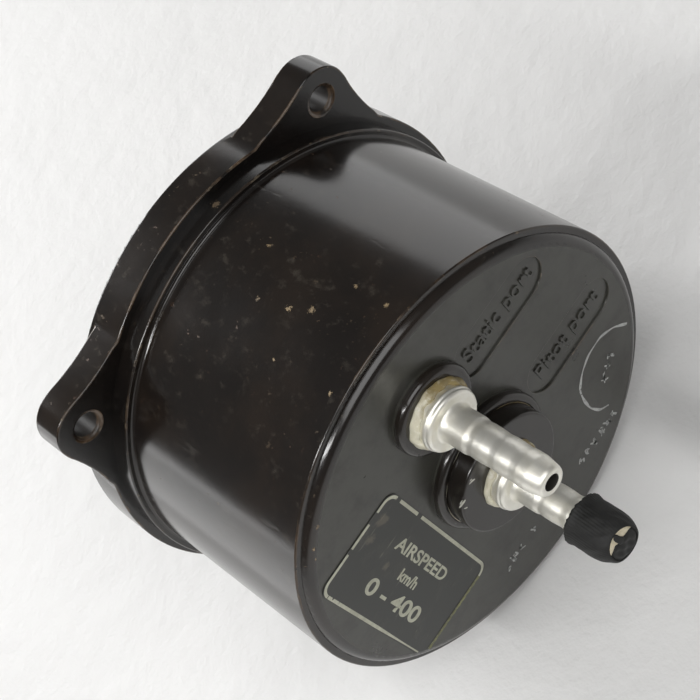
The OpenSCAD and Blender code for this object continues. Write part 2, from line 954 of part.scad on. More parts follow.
module cap_stopper() {
    color([0.8, 0.76, 0.62])
        rod(stopper_r, pitot_tip_y, pitot_tip_y + stopper_t);
}

module rear_label() {
    color([0.1, 0.1, 0.1])
        slab(back_y, back_y + label_t)
            intersection() {
                translate([label_x, label_z])
                    round_box(label_w, label_h, label_corner);
                circle(r = flat_r);
            }
}

case();
retaining_ring();
glass();
glass_gasket();
dial();
dial_spacers();
dial_screws();
pointer();
pointer_boss();
pointer_shaft();
pinion();
hairspring();
hairspring_collet();
hairspring_stud();
front_plate();
rear_plate();
pillars();
plate_screws();
case_screws();
pivot_bushes();
sector_gear();
sector_shaft();
sector_pin();
rocker_brackets();
bracket_screws();
rocker_shaft();
capsule_lever();
drive_finger();
capsule_stud();
front_diaphragm();
rear_diaphragm();
capsule_stem();
centre_plug();
plug_gasket();
static_washer();
static_nozzle();
pitot_washer();
pitot_nozzle();
dust_cap();
cap_stopper();
rear_label();
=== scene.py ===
import json

import bmesh
import bpy
import numpy as np
from mathutils import Matrix, Vector


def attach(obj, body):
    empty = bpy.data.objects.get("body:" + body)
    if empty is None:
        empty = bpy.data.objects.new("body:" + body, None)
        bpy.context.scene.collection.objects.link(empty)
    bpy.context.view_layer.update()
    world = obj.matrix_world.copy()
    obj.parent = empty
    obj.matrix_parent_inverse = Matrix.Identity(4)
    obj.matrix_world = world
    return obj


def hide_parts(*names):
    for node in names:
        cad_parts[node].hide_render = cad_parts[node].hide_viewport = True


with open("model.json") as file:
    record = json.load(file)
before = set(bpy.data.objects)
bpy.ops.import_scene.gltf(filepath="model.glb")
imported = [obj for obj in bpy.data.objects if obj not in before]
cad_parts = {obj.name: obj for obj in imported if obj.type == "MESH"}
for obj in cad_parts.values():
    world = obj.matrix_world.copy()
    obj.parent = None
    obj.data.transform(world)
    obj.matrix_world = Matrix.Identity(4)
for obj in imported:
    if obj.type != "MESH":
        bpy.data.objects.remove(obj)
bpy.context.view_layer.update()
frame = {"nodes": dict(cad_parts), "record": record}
nodes = frame["nodes"]
scene = bpy.context.scene
scene.view_settings.view_transform = "Standard"
mm = 0.001
print("frame loaded:", len(nodes), "nodes")


# shader maths: a wire holds one socket, and sums or products of wires add Math nodes
class Wire:
    def __init__(self, tree, socket=None):
        self.tree = tree
        self.socket = socket

    # any node: its type, its settings, then values or links for its sockets
    def node(self, kind, settings=None, sockets=None, out=0):
        made = self.tree.nodes.new("ShaderNode" + kind)
        for key, value in (settings or {}).items():
            setattr(made, key, value)
        for key, value in (sockets or {}).items():
            if isinstance(value, Wire):
                self.tree.links.new(value.socket, made.inputs[key])
            else:
                made.inputs[key].default_value = value
        return Wire(self.tree, made.outputs[out] if len(made.outputs) else None)

    def maths(self, operation, first, second=0.0):
        return self.node("Math", {"operation": operation}, {0: first, 1: second})

    def __add__(self, other):
        return self.maths("ADD", self, other)

    def __sub__(self, other):
        return self.maths("SUBTRACT", self, other)

    def __rsub__(self, other):
        return self.maths("SUBTRACT", other, self)

    def __mul__(self, other):
        return self.maths("MULTIPLY", self, other)

    def __truediv__(self, other):
        return self.maths("DIVIDE", self, other)

    def __gt__(self, other):
        return self.maths("GREATER_THAN", self, other)

    def __lt__(self, other):
        return self.maths("LESS_THAN", self, other)

    __radd__ = __add__
    __rmul__ = __mul__

    def root(self):
        return self.maths("SQRT", self)

    def size(self):
        return self.maths("ABSOLUTE", self)

    def clip(self):
        return self.node("Clamp", sockets={"Value": self})

    # smooth step from 0 at low to 1 at high
    def rise(self, low, high):
        return self.node("MapRange", {"interpolation_type": "SMOOTHSTEP"},
                         {"Value": self, "From Min": low, "From Max": high})


def mixTones(mask, first, second):
    return mask.node("Mix", {"data_type": "RGBA"}, {0: mask, 6: first, 7: second}, out=2)


def tone(red, green, blue):
    return (red, green, blue, 1.0)


def grain(at, scale, detail=4.0, rough=0.55, stretch=(1, 1, 1), offset=(0, 0, 0)):
    placed = at.node("Mapping", sockets={"Vector": at, "Scale": stretch, "Location": offset})
    return at.node("TexNoise", sockets={"Vector": placed, "Scale": scale, "Detail": detail,
                                        "Roughness": rough})


# a ragged spot round a place: full within the core, a share of its reach, and gone at its reach
def raggedSpot(at, place, reach, ragged, core):
    centre = [k * mm for k in place]
    far = at.node("VectorMath", {"operation": "DISTANCE"}, {0: at, 1: centre}, out=1)
    return 1.0 - (far + ragged * (reach * mm)).rise(core * reach * mm, reach * mm)


# small scattered spots: cells of a warped Voronoi, kept where the cell's own random value is high
def spots(at, scale, radius, keep, warp):
    wobble = at.node("TexNoise", sockets={"Vector": at, "Scale": scale * 3, "Detail": 2.0}, out="Color")
    bent = at.node("VectorMath", {"operation": "SCALE"}, {0: wobble, "Scale": warp})
    moved = at.node("VectorMath", {"operation": "ADD"}, {0: at, 1: bent})
    far = at.node("TexVoronoi", sockets={"Vector": moved, "Scale": scale}, out="Distance")
    cell = at.node("TexVoronoi", sockets={"Vector": moved, "Scale": scale}, out="Color")
    chance = at.node("SeparateColor", sockets={"Color": cell})
    return (1.0 - far.rise(radius * 0.55, radius)) * (chance > 1.0 - keep)


def startFinish(name):
    material = bpy.data.materials.new(name)
    material.use_nodes = True
    material.node_tree.nodes.clear()
    at = Wire(material.node_tree).node("TexCoord", out="Object")
    return material, at


def endFinish(material, at, sockets, height=None, depth=0.0001):
    if height is not None:
        sockets["Normal"] = at.node("Bump", sockets={"Height": height, "Distance": depth, "Strength": 1.0})
    shader = at.node("BsdfPrincipled", sockets=sockets)
    at.node("OutputMaterial", sockets={"Surface": shader})
    return material


def axes(at):
    return [at.node("SeparateXYZ", sockets={"Vector": at}, out=k) for k in range(3)]


bakelite = {
    "dark": tone(0.0085, 0.0067, 0.0058),
    "brown": tone(0.0160, 0.0113, 0.0084),
    "film": tone(0.038, 0.0375, 0.031),
    "fleck": tone(0.150, 0.108, 0.066),
    "rust": tone(0.130, 0.062, 0.032),
    "scuff": tone(0.120, 0.105, 0.085),
    "worn": tone(0.200, 0.126, 0.072),
    "pale": tone(0.360, 0.290, 0.200),
    "rawWallShade": tone(0.010, 0.0075, 0.0055),
    "flangeShadeTone": tone(0.0030, 0.0028, 0.0028),
    "tan": tone(0.340, 0.245, 0.130),
    "backFace": 44.0, "bossFoot": 45.0, "flatEdge": 36.7, "flangeBack": 0.4, "bodyFoot": 3.0,
    "flangeShadeFrom": -0.4, "flangeShadeTo": -0.1, "hole": 32.70, "holeWall": 2.3, "holeRim": 2.8,
    "chipRagged": 3.4, "chipCore": 0.2,
    "chips": [((-7.8, 1.9, 40.7), 0.85), ((24.4, 44.7, 28.1), 0.45), ((27.5, 44.7, 25.5), 0.4),
              ((28.6, 44.7, 23.7), 0.3), ((0.3, 25.9, 40.0), 0.6), ((-1.3, 29.6, 40.0), 0.65),
              ((-7.8, 33.3, 39.2), 0.45), ((1.5, 19.8, 40.0), 0.45), ((-7.6, 39.9, 39.3), 0.45),
              ((7.7, 40.8, 39.3), 0.4), ((-6.5, 14.9, 39.5), 0.4), ((7.9, 28.6, 39.2), 0.3),
              ((-8.9, 43.6, 39.0), 0.4)],
}


# moulded thermoset: brown mottling, painted shade on the flange's back, tan flecks, fine scuffs, a grey
# film on the back face but mostly off the bosses, partly as painted shade, and rough hole walls darkened as
# painted shade
def mouldedFinish(name, wornEdge=False):
    material, at = startFinish(name)
    x, y, z = axes(at)
    mottle = grain(at, 70, 6, 0.62).rise(0.35, 0.72)
    base = mixTones(mottle, bakelite["dark"], bakelite["brown"])
    bodySide = y.rise(bakelite["bodyFoot"] * mm, (bakelite["bodyFoot"] + 1) * mm)
    # painted shade: the flange's back and the ring behind it, between the ears and the body, darkened
    # nearly to black
    flangeShade = y.rise(bakelite["flangeShadeFrom"] * mm, bakelite["flangeShadeTo"] * mm) * (1.0 - bodySide)
    base = mixTones(flangeShade * 0.6, base, bakelite["flangeShadeTone"])
    back = y.rise((bakelite["backFace"] - 0.15) * mm, (bakelite["backFace"] + 0.3) * mm)
    # the raised bosses and plug are kept almost free of the film: partly their cleaner glossy black, partly
    # painted shade round the nozzles
    bossCleanAndShade = y.rise(bakelite["bossFoot"] * mm, (bakelite["bossFoot"] + 0.4) * mm)
    lip = (x * x + z * z).root().rise(bakelite["flatEdge"] * mm, (bakelite["flatEdge"] + 0.7) * mm)
    flat = back * (1.0 - 0.9 * bossCleanAndShade) * (1.0 - lip)
    film = flat * grain(at, 160, 7, 0.7, offset=(0.3, 0.1, 0.7)).rise(0.18, 0.60)
    base = mixTones(film, base, bakelite["film"])
    patch = grain(at, 42, 3, 0.6, offset=(1.7, 0.2, 0.4)).rise(0.32, 0.52)
    # fewer smudges on the back face, and fewer on the flange's back as part of its painted shade
    patch = patch * (1.0 - back * 0.8) * (1.0 - flangeShade * 0.7)
    smudge = grain(at, 520, 4, 0.6, (1.0, 0.75, 1.0), (0.6, 1.9, 0.3)).rise(0.55, 0.75) * patch
    base = mixTones(smudge * 0.24, base, bakelite["scuff"])
    hue = grain(at, 150, 2, 0.5, offset=(4.1, 0.8, 0.2)).rise(0.46, 0.60)
    cluster = grain(at, 210, 2, 0.5, offset=(0.4, 0.9, 3.3)).rise(0.46, 0.62) * patch
    flecks = grain(at, 1150, 3, 0.6, (1.0, 0.7, 1.0), (0.1, 2.7, 0.6)).rise(0.62, 0.74) * cluster * 0.8
    ragged = (grain(at, 2600, 3, 0.6, offset=(0.8, 0.1, 1.9)) - 0.5) * bakelite["chipRagged"]
    chips = 0.0
    for place, reach in bakelite["chips"]:
        chips = chips + raggedSpot(at, place, reach, ragged, bakelite["chipCore"])
    base = mixTones(flecks * 0.56, base, mixTones(hue, bakelite["fleck"], bakelite["rust"]))
    base = mixTones(chips.clip() * 0.75, base, mixTones(hue, bakelite["tan"], bakelite["fleck"]))
    flecks = (flecks + chips).clip()
    scuff = grain(at, 300, 4, 0.62, (1.0, 0.30, 0.8), (0.2, 0.5, 0.9)).rise(0.63, 0.72)
    scuff = scuff * grain(at, 60, 2, 0.5, offset=(2.1, 1.3, 0.2)).rise(0.45, 0.65)
    base = mixTones(scuff * 0.16, base, bakelite["scuff"])
    # hole walls: rougher unfinished moulding, their lighter tone darkened to near black as painted shade
    # inside the holes
    acrossX = x.size() - bakelite["hole"] * mm
    acrossZ = z.size() - bakelite["hole"] * mm
    fromHole = (acrossX * acrossX + acrossZ * acrossZ).root()
    hole = 1.0 - fromHole.rise(bakelite["holeWall"] * mm, bakelite["holeRim"] * mm)
    base = mixTones(hole * 0.85, base, bakelite["rawWallShade"])
    shine = 0.13 + 0.08 * grain(at, 120, 5, 0.6, offset=(0.4, 0.8, 0.3)) + 0.12 * flat + 0.25 * flecks
    shine = shine + 0.32 * hole + 0.10 * scuff
    if wornEdge:
        front = 1.0 - y.rise(bakelite["flangeBack"] * mm, (bakelite["flangeBack"] + 2) * mm)
        rub = grain(at, 150, 5, 0.65, offset=(0.9, 2.2, 0.1)).rise(0.38, 0.66) * (0.3 + 0.35 * front)
        chip = grain(at, 480, 3, 0.6, offset=(3.1, 0.4, 1.2)).rise(0.60, 0.70) * (0.3 + 0.3 * front)
        base = mixTones(rub * 0.7, base, bakelite["worn"])
        base = mixTones(chip * 0.7, base, bakelite["pale"])
        shine = shine + 0.2 * rub
    height = 0.9 * grain(at, 26, 3, 0.5) + 0.08 * grain(at, 700, 3, 0.6) - 0.1 * scuff
    return endFinish(material, at, {"Base Color": base, "Roughness": shine, "IOR": 1.58}, height, 0.00008)


aluminium = {
    "bright": tone(0.885, 0.87, 0.80),
    "dull": tone(0.75, 0.72, 0.61),
    "stain": tone(0.30, 0.19, 0.09),
    "boreDark": tone(0.020, 0.018, 0.015),
    "ringPitch": 0.16, "bore": 1.45, "axes": (0.0, 22.0),
}


# turned aluminium: rings along the axis, duller patches, a few brown stains, and the bores darkened nearly
# to black
def turnedFinish(name):
    material, at = startFinish(name)
    x, y, z = axes(at)
    cloud = grain(at, 260, 5, 0.6).rise(0.38, 0.74)
    base = mixTones(cloud * 0.6, aluminium["bright"], aluminium["dull"])
    stain = spots(at, 190, 0.16, 0.20, 0.0010)
    base = mixTones(stain * 0.55, base, aluminium["stain"])
    lower, upper = ((x * x + (z - centre * mm) * (z - centre * mm)).root() for centre in aluminium["axes"])
    # inside the bores the tone is darkened nearly to black
    bore = at.maths("MINIMUM", lower, upper) < aluminium["bore"] * mm
    base = mixTones(bore, base, aluminium["boreDark"])
    turning = at.maths("SINE", y * (2 * np.pi / (aluminium["ringPitch"] * mm)))
    shine = 0.41 + 0.08 * cloud + 0.2 * stain + 0.4 * bore
    height = 0.2 * turning + 0.25 * grain(at, 900, 3, 0.6)
    metal = 0.83 * (1.0 - 0.5 * stain) * (1.0 - 0.8 * bore)
    sockets = {"Base Color": base, "Roughness": shine, "Metallic": metal}
    return endFinish(material, at, sockets, height, 0.00001)


# plain worked finish for hidden or small pieces: a base tone with slight clouding
def plainFinish(name, light, dark, rough, metal=0.0, scale=300, **fixed):
    material, at = startFinish(name)
    cloud = grain(at, scale, 5, 0.6).rise(0.3, 0.75)
    base = mixTones(cloud, light, dark)
    sockets = {"Base Color": base, "Roughness": rough + 0.12 * cloud, "Metallic": metal}
    sockets.update({key.replace("_", " "): value for key, value in fixed.items()})
    return endFinish(material, at, sockets, grain(at, scale * 4, 3, 0.6), 0.00002)


# paint that has partly rubbed off: alpha broken up by two grains
def wornPaint(name, light, dark, keep, scale=900):
    material, at = startFinish(name)
    wear = 0.6 * grain(at, scale, 4, 0.65) + 0.4 * grain(at, scale * 0.22, 3, 0.5, offset=(0.7, 0.1, 0.5))
    base = mixTones(wear.rise(0.35, 0.65), light, dark)
    alpha = wear.rise(keep, keep + 0.07)
    return endFinish(material, at, {"Base Color": base, "Roughness": 0.55, "Alpha": alpha})


finishes = {
    "case": mouldedFinish("mouldedCase"),
    "edge": mouldedFinish("mouldedWornEdge", True),
    "aluminium": turnedFinish("turnedAluminium"),
    "blackPaint": plainFinish("mattBlackPaint", tone(0.016, 0.016, 0.016), tone(0.024, 0.024, 0.023), 0.5),
    "whitePaint": plainFinish("whitePaint", tone(0.80, 0.79, 0.74), tone(0.70, 0.69, 0.63), 0.45),
    "brass": plainFinish("brass", tone(0.72, 0.53, 0.24), tone(0.60, 0.42, 0.18), 0.28, 1.0),
    "bronze": plainFinish("springBronze", tone(0.66, 0.42, 0.22), tone(0.55, 0.33, 0.16), 0.26, 1.0),
    "steel": plainFinish("brightSteel", tone(0.56, 0.56, 0.57), tone(0.45, 0.45, 0.45), 0.25, 1.0),
    "gasket": plainFinish("gasketRubber", tone(0.020, 0.019, 0.018), tone(0.030, 0.028, 0.026), 0.7),
    "fibre": plainFinish("fibreWasher", tone(0.60, 0.57, 0.45), tone(0.42, 0.38, 0.22), 0.5),
    "cream": plainFinish("creamStopper", tone(0.62, 0.56, 0.43), tone(0.44, 0.38, 0.26), 0.75, scale=900),
    "capRubber": plainFinish("ribbedRubber", tone(0.010, 0.010, 0.0097), tone(0.020, 0.020, 0.019), 0.56,
                             scale=700, Specular_IOR_Level=0.35),
    "print": wornPaint("offWhitePrint", tone(0.50, 0.50, 0.40), tone(0.36, 0.36, 0.28), 0.32),
    "stain": wornPaint("olivePrint", tone(0.20, 0.20, 0.085), tone(0.11, 0.11, 0.06), 0.30, 1400),
    "scratch": wornPaint("wornWhiteMark", tone(0.52, 0.53, 0.51), tone(0.30, 0.305, 0.30), 0.38, 1500),
    "chip": wornPaint("paleChip", tone(0.66, 0.66, 0.60), tone(0.42, 0.42, 0.36), 0.36, 1800),
}


varnishLook = {
    "olive": tone(0.26, 0.20, 0.085), "offWhite": tone(0.60, 0.57, 0.44), "crust": tone(0.72, 0.70, 0.62),
    "reach": 9.0,
}


# sealing varnish: brown-olive on one side of the nozzles, off-white on the other, with whitish crusts
def varnishFinish():
    material, at = startFinish("sealingVarnish")
    x = axes(at)[0]
    cloud = grain(at, 500, 6, 0.65)
    side = (x / (varnishLook["reach"] * mm) + cloud * 1.4 - 0.2).rise(0.15, 0.85)
    crust = grain(at, 1400, 4, 0.6, offset=(0.2, 0.6, 0.1)).rise(0.52, 0.66)
    base = mixTones(side, varnishLook["olive"], varnishLook["offWhite"])
    base = mixTones(crust * (0.25 + 0.4 * side), base, varnishLook["crust"])
    sockets = {"Base Color": base, "Roughness": 0.34 + 0.2 * crust}
    return endFinish(material, at, sockets, grain(at, 1100, 4, 0.6), 0.00007)


labelLook = {
    "dark": tone(0.021, 0.022, 0.019), "smear": tone(0.075, 0.073, 0.060), "line": tone(0.25, 0.24, 0.19),
    "rubbed": tone(0.125, 0.105, 0.075), "rubbedRagged": 3.0, "rubbedCore": 0.3,
    "patches": [((18.0, 44.8, 15.0), 1.5), ((21.6, 44.8, 14.6), 1.2), ((23.7, 44.8, 6.2), 1.1)],
}


# label transfer: dark satin with paler smears, fine scratches and a few rubbed patches
def labelFinish():
    material, at = startFinish("labelTransfer")
    smear = grain(at, 110, 6, 0.7, offset=(0.5, 0.2, 0.8)).rise(0.50, 0.78)
    line = grain(at, 500, 3, 0.6, (0.3, 1.0, 1.4)).rise(0.66, 0.74)
    base = mixTones(smear * 0.55, labelLook["dark"], labelLook["smear"])
    base = mixTones(line * 0.25, base, labelLook["line"])
    ragged = (grain(at, 420, 4, 0.65, offset=(0.2, 1.4, 0.6)) - 0.5) * labelLook["rubbedRagged"]
    for place, reach in labelLook["patches"]:
        rubbed = raggedSpot(at, place, reach, ragged, labelLook["rubbedCore"])
        base = mixTones(rubbed * 0.55, base, labelLook["rubbed"])
    sockets = {"Base Color": base, "Roughness": 0.36 + 0.15 * smear}
    return endFinish(material, at, sockets, smear + 0.4 * line, 0.00003)


def glassFinish():
    material, at = startFinish("windowGlass")
    haze = grain(at, 60, 4, 0.6).rise(0.4, 0.8)
    sockets = {"Base Color": tone(0.93, 0.97, 0.96), "Roughness": 0.02 + 0.03 * haze,
               "Transmission Weight": 1.0, "IOR": 1.45}
    return endFinish(material, at, sockets)


finishes["varnish"] = varnishFinish()
finishes["label"] = labelFinish()
finishes["glass"] = glassFinish()

slotFinish = {
    "bakelite": "case", "black_paint": "blackPaint", "glass": "glass", "gasket_rubber": "gasket",
    "white_paint": "whitePaint", "brass": "brass", "bronze": "bronze", "steel": "steel", "fibre": "fibre",
    "aluminium": "aluminium", "cap_rubber": "capRubber", "cap_stopper": "cream", "label": "label",
}
for part in frame["record"]["subparts"]:
    mesh = nodes[part["node"]].data
    mesh.materials.clear()
    mesh.materials.append(finishes[slotFinish[part["material_slot"]]])
print("finishes made:", len(finishes))


# a piece from a mesh in metres: finish, body and what it stands for
def addPiece(name, mesh, finish, body="case", standsFor=()):
    if finish is not None:
        mesh.materials.append(finishes[finish])
    piece = bpy.data.objects.new(name, mesh)
    scene.collection.objects.link(piece)
    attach(piece, body)
    if standsFor:
        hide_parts(*standsFor)
    return piece


# quads between neighbours of a (rows, columns, 3) array in millimetres; doubled points at poles are merged
def gridMesh(name, points, wrapRows=False, wrapColumns=False, closed=True):
    rows, columns = points.shape[:2]
    index = np.arange(rows * columns).reshape(rows, columns)
    if wrapRows:
        index = np.vstack([index, index[:1]])
    if wrapColumns:
        index = np.hstack([index, index[:, :1]])
    quads = np.stack([index[:-1, :-1], index[1:, :-1], index[1:, 1:], index[:-1, 1:]], -1).reshape(-1, 4)
    mesh = bpy.data.meshes.new(name)
    mesh.from_pydata((points.reshape(-1, 3) * mm).tolist(), [], quads.tolist())
    shell = bmesh.new()
    shell.from_mesh(mesh)
    bmesh.ops.remove_doubles(shell, verts=shell.verts, dist=1e-7)
    if closed:
        bmesh.ops.recalc_face_normals(shell, faces=shell.faces)
    shell.to_mesh(mesh)
    shell.free()
    mesh.polygons.foreach_set("use_smooth", np.ones(len(mesh.polygons), bool))
    mesh.update()
    return mesh


# points at even steps along a closed or open polyline, corners softened by repeated averaging
def softLine(corners, step, passes, closed=True):
    line = np.array(corners, float)
    if closed:
        line = np.vstack([line, line[:1]])
    gaps = np.linalg.norm(np.diff(line, axis=0), axis=1)
    run = np.concatenate([[0], np.cumsum(gaps)])
    count = max(8, int(run[-1] / step))
    at = np.linspace(0, run[-1], count, endpoint=not closed)
    points = np.stack([np.interp(at, run, line[:, k]) for k in range(line.shape[1])], 1)
    for _ in range(passes):
        if closed:
            points = (np.roll(points, 1, 0) + 2 * points + np.roll(points, -1, 0)) / 4
        else:
            points[1:-1] = (points[:-2] + 2 * points[1:-1] + points[2:]) / 4
    return points


# smooth repeating noise round a turn: a sum of seeded sines
def turnNoise(angle, waves, seed):
    rng = np.random.default_rng(seed)
    total = np.zeros_like(angle)
    for wave in waves:
        total = total + rng.uniform(0.4, 1.0) * np.sin(wave * angle + rng.uniform(0, 2 * np.pi))
    return total / len(waves)


caseShell = {
    "edge": 0.32, "steps": 3, "angle": 0.75, "merge": 2e-5, "flat": 0.006,
    "fieldLow": 44.2, "fieldHigh": 44.76, "fieldShare": 0.45, "inner": 36.9, "innerBack": 42.9,
    "rimFront": -6.15, "rimInner": 40.5,
}


# how far an edge is rounded: outward corners fully, the shallow sunk fields less, the hidden inside and
# the rim's front, which is round already, not at all
def edgeShare(edge):
    if edge.calc_face_angle_signed(0.0) < caseShell["angle"]:
        return 0.0
    middle = (edge.verts[0].co + edge.verts[1].co) / (2 * mm)
    out = np.hypot(middle.x, middle.z)
    if out < caseShell["inner"] and middle.y < caseShell["innerBack"]:
        return 0.0
    if out > caseShell["rimInner"] and middle.y < caseShell["rimFront"]:
        return 0.0
    return caseShell["fieldShare"] if caseShell["fieldLow"] < middle.y < caseShell["fieldHigh"] else 1.0


# the moulding itself: the CAD case merged, its flat faces rejoined, and every sharp edge rounded and worn
def makeCase():
    mesh = nodes["case"].data.copy()
    mesh.materials.clear()
    mesh.materials.append(finishes["case"])
    mesh.materials.append(finishes["edge"])
    shell = bmesh.new()
    shell.from_mesh(mesh)
    bmesh.ops.remove_doubles(shell, verts=shell.verts, dist=caseShell["merge"])
    bmesh.ops.dissolve_limit(shell, angle_limit=caseShell["flat"], verts=shell.verts, edges=shell.edges)
    weight = shell.edges.layers.float.new("bevel_weight_edge")
    for edge in shell.edges:
        edge[weight] = edgeShare(edge)
        edge.smooth = edge[weight] > 0 or edge.calc_face_angle(0.0) < caseShell["angle"]
    shell.to_mesh(mesh)
    shell.free()
    mesh.polygons.foreach_set("use_smooth", np.ones(len(mesh.polygons), bool))
    mesh.polygons.foreach_set("material_index", np.zeros(len(mesh.polygons), np.int32))
    piece = addPiece("caseMoulding", mesh, None, "case", ["case"])
    bevel = piece.modifiers.new("roundedEdges", "BEVEL")
    bevel.width = caseShell["edge"] * mm
    bevel.segments = caseShell["steps"]
    bevel.limit_method = "WEIGHT"
    bevel.use_clamp_overlap = False
    bevel.material = 1
    bevel.harden_normals = False
    weigh = piece.modifiers.new("flatShading", "WEIGHTED_NORMAL")
    weigh.keep_sharp = True
    return piece


makeCase()
print("case rounded")

fillet = {"body": 40.0, "seat": 3.6, "radius": 0.5, "sink": 0.1, "turns": 180, "steps": 8}


# moulded fillet where the body leaves the ring: a hollow quarter circle revolved, closed inside the
# moulding
def rootFillet():
    turn = np.linspace(0, np.pi / 2, fillet["steps"])
    reach = fillet["radius"]
    inside, under = fillet["body"] - fillet["sink"], fillet["seat"] - fillet["sink"]
    outer, top = fillet["body"] + reach, fillet["seat"] + reach
    radius = np.append(outer - reach * np.sin(turn), [inside, inside, outer])[:, None]
    along = np.append(top - reach * np.cos(turn), [top, under, under])[:, None]
    angle = np.linspace(0, 2 * np.pi, fillet["turns"], endpoint=False)[None, :]
    points = np.stack([radius * np.cos(angle), along + 0 * angle, radius * np.sin(angle)], -1)
    return addPiece("rootFillet", gridMesh("rootFillet", points, True, True), "case", "case")


rootFillet()

nozzle = {
    "seatStatic": (46.7, 22.0), "seatPitot": (50.1, 0.0), "turns": 112, "step": 0.09, "soften": 6,
    "profile": [(1.3, -4.6), (2.9, -4.6), (2.9, 0.5), (5.1, 0.5), (5.32, 0.7), (5.32, 1.7), (5.5, 1.9),
                (5.5, 2.35), (5.25, 2.5), (5.32, 2.66), (5.28, 2.95), (4.95, 3.28), (3.5, 3.32),
                (3.26, 3.9), (3.2, 4.4), (3.2, 7.8), (2.97, 8.5), (3.0, 9.2), (3.05, 9.5), (3.05, 11.0),
                (2.93, 12.8), (2.99, 13.5), (3.05, 13.9), (3.05, 15.0), (2.93, 16.7), (2.99, 17.6),
                (3.05, 18.0), (3.05, 19.8), (2.62, 22.1), (2.35, 22.6), (2.1, 22.7), (1.55, 22.7),
                (1.3, 22.45)],
}


# revolve a (radius, y) profile round an axis along Y through (0, z)
def turnedNozzle(name, seat, height, node):
    line = softLine(nozzle["profile"], nozzle["step"], nozzle["soften"])
    radius, along = line[:, :1], line[:, 1:]
    angle = np.linspace(0, 2 * np.pi, nozzle["turns"], endpoint=False)[None, :]
    points = np.stack([radius * np.cos(angle), seat + along + 0 * angle, height + radius * np.sin(angle)],
                      -1)
    return addPiece(name, gridMesh(name, points, True, True), "aluminium", "case", [node])


turnedNozzle("staticNozzle", *nozzle["seatStatic"], "static_nozzle")
turnedNozzle("pitotNozzle", *nozzle["seatPitot"], "pitot_nozzle")

varnish = {
    "turns": 260, "arc": 16, "inside": 0.12, "lift": 0.75, "ripple": 0.025,
    "static": {"seat": 46.7, "centre": 22.0, "foot": 6.2, "top": 5.4, "high": 1.3,
               "ragged": 0.42, "seed": 7},
    "pitot": {"seat": 50.1, "centre": 0.0, "foot": 6.05, "top": 5.4, "high": 0.95,
              "ragged": 0.3, "seed": 15},
    "seam": {"seat": 46.22, "centre": 0.0, "foot": 11.12, "top": 10.88, "high": 0.3,
             "ragged": 0.2, "seed": 31},
}


# ragged skirt of varnish: a quarter ellipse from its foot on the seat up the collar, foot and height
# wandering with the angle, closed by a wall just inside the collar
def varnishSkirt(name, skirt):
    angle = np.linspace(0, 2 * np.pi, varnish["turns"], endpoint=False)[None, :]
    climb = np.linspace(0, np.pi / 2, varnish["arc"])[:, None]
    spread = turnNoise(angle, (2, 3, 5, 9, 14), skirt["seed"])
    lift = turnNoise(angle, (3, 4, 7, 12), skirt["seed"] + 5)
    fine = turnNoise(angle * 4 + 3 * climb, (5, 8, 11), 3) * varnish["ripple"]
    foot = skirt["foot"] + skirt["ragged"] * spread
    high = skirt["high"] * (1 + varnish["lift"] * lift)
    radius = skirt["top"] + (foot - skirt["top"]) * np.cos(climb) + fine * np.sin(2 * climb)
    y = skirt["seat"] + high * np.sin(climb) + 0 * radius
    wall = np.full_like(angle, skirt["top"] - varnish["inside"])
    radius = np.concatenate([radius, wall, wall], 0)
    y = np.concatenate([y, y[-1:] - 0.02, np.full_like(angle, skirt["seat"])], 0)
    points = np.stack([radius * np.cos(angle), y, skirt["centre"] + radius * np.sin(angle)], -1)
    return addPiece(name, gridMesh(name, points, True, True), "varnish", "case")


for skirt in ("static", "pitot", "seam"):
    varnishSkirt(skirt + "Varnish", varnish[skirt])

cap = {
    "turns": 240, "mouth": 64.85, "end": 74.05, "ribs": 52, "ribDepth": 0.03, "fray": 0.55,
    "sagFrom": 0.6, "sag": 0.95, "flare": 0.5, "dent": 0.20, "fold": 0.16, "bulge": 0.1,
    "outer": [(3.75, 64.95), (4.2, 64.85), (4.46, 65.05), (4.48, 65.4), (4.32, 65.95), (4.2, 66.6),
              (4.26, 67.8), (4.28, 69.3), (4.2, 70.6), (4.02, 71.7), (3.72, 72.6), (3.36, 73.3),
              (3.1, 73.75), (2.92, 73.92), (2.74, 73.88), (2.66, 73.6)],
    "inner": [(2.7, 73.35), (2.94, 73.2), (2.96, 72.86), (3.3, 72.6), (3.36, 66.4), (3.5, 65.3)],
    "stopper": 2.7, "stopperLean": 0.7, "stopperSlope": 0.45, "stopperFoot": 72.8, "stopperTop": 73.32,
    "flapReach": 2.85, "flapEdge": 2.1, "flapFoot": 73.36, "flapRise": 0.66,
    "strip": 1.2, "stripFrom": 1.5, "stripTo": 3.6, "stripAt": 0.05, "stripLevel": 73.72, "stripDrop": 0.62,
}


